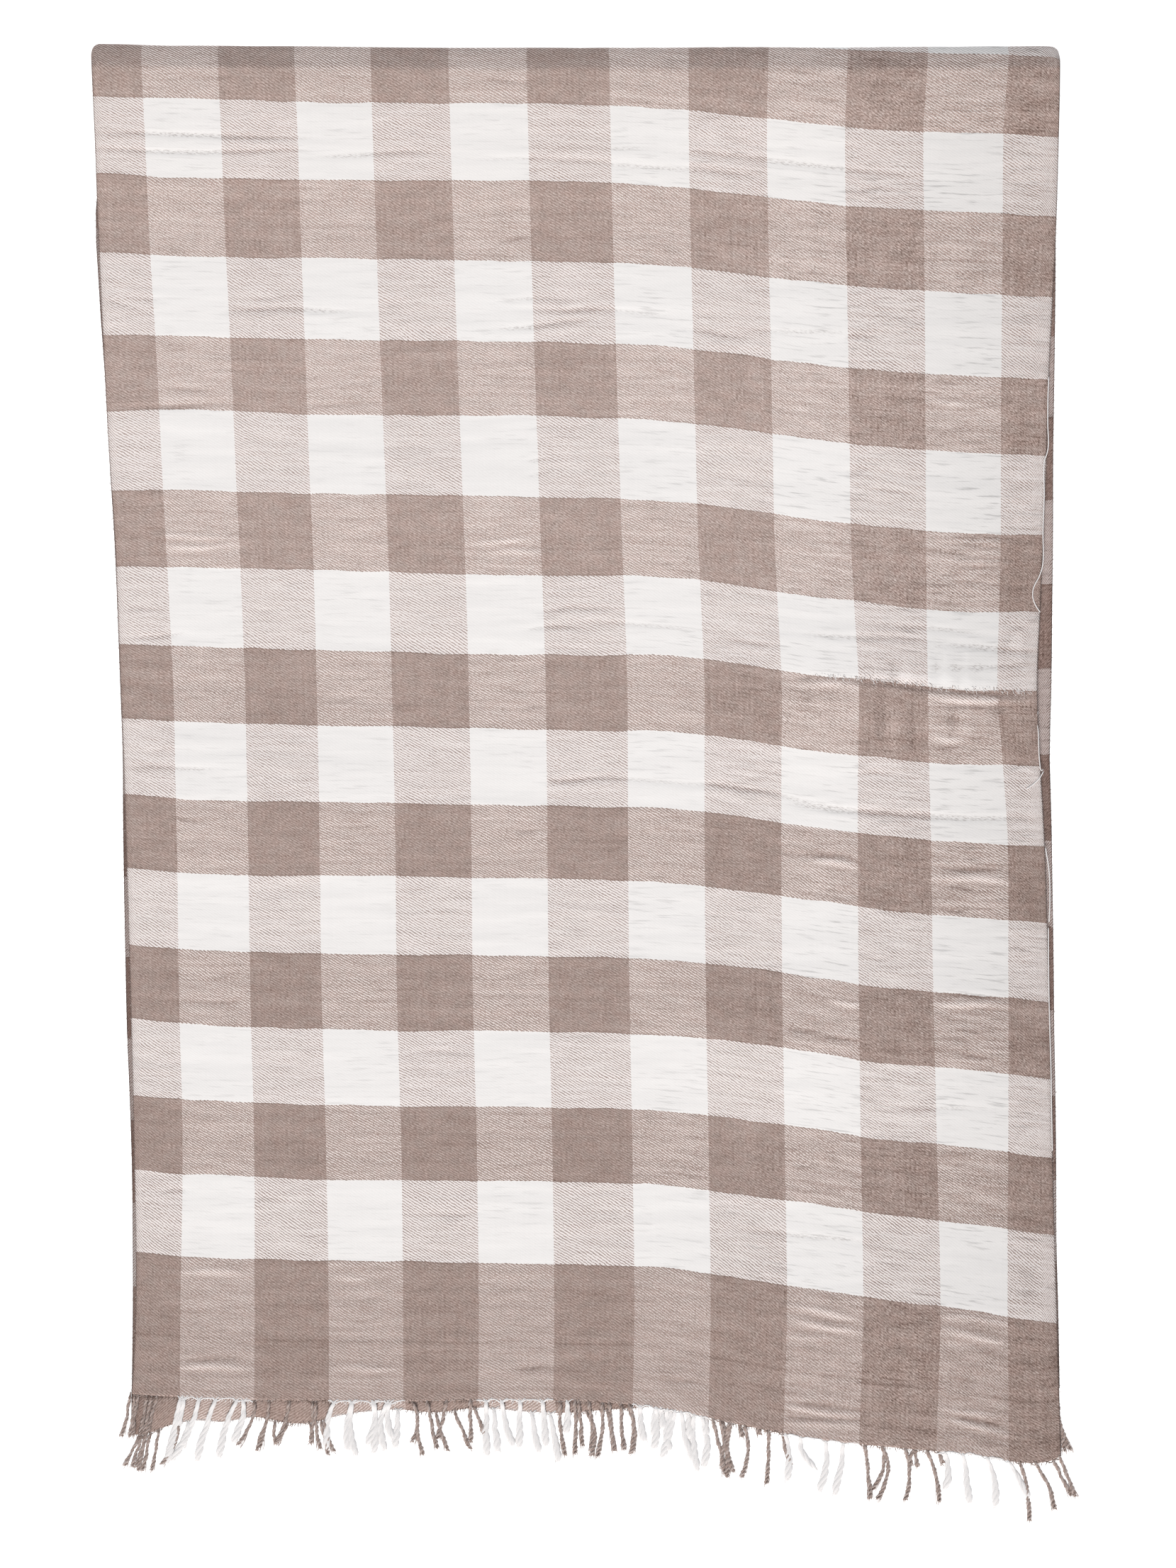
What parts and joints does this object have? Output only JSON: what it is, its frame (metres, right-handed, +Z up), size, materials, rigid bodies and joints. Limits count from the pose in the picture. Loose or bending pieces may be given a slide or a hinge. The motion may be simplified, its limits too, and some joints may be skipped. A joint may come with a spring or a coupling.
{
  "type": "check stole, folded once",
  "caption": "Light woven twill stole in a taupe and ivory check, folded once across its length and laid flat, with a knotted fringe at both ends.",
  "frame": {"origin": "middle of the footprint, on the surface that the stole lies on", "axes": "+X across the cloth from the left selvedge to the right one, +Y along it from the fringe to the fold, +Z up from the surface"},
  "size_m": [0.7191, 1.0717, 0.0126],
  "materials": {
    "check_twill": "soft matt wool twill in a check of taupe and ivory, with a faint nap",
    "fringe_yarn": "loosely twisted matt wool yarn in taupe and ivory"
  },
  "bodies": {
    "root": {"front_panel": "check_twill", "top_fold": "check_twill", "back_panel": "check_twill", "front_fringe": "fringe_yarn", "back_fringe": "fringe_yarn"}
  },
  "joints": []
}
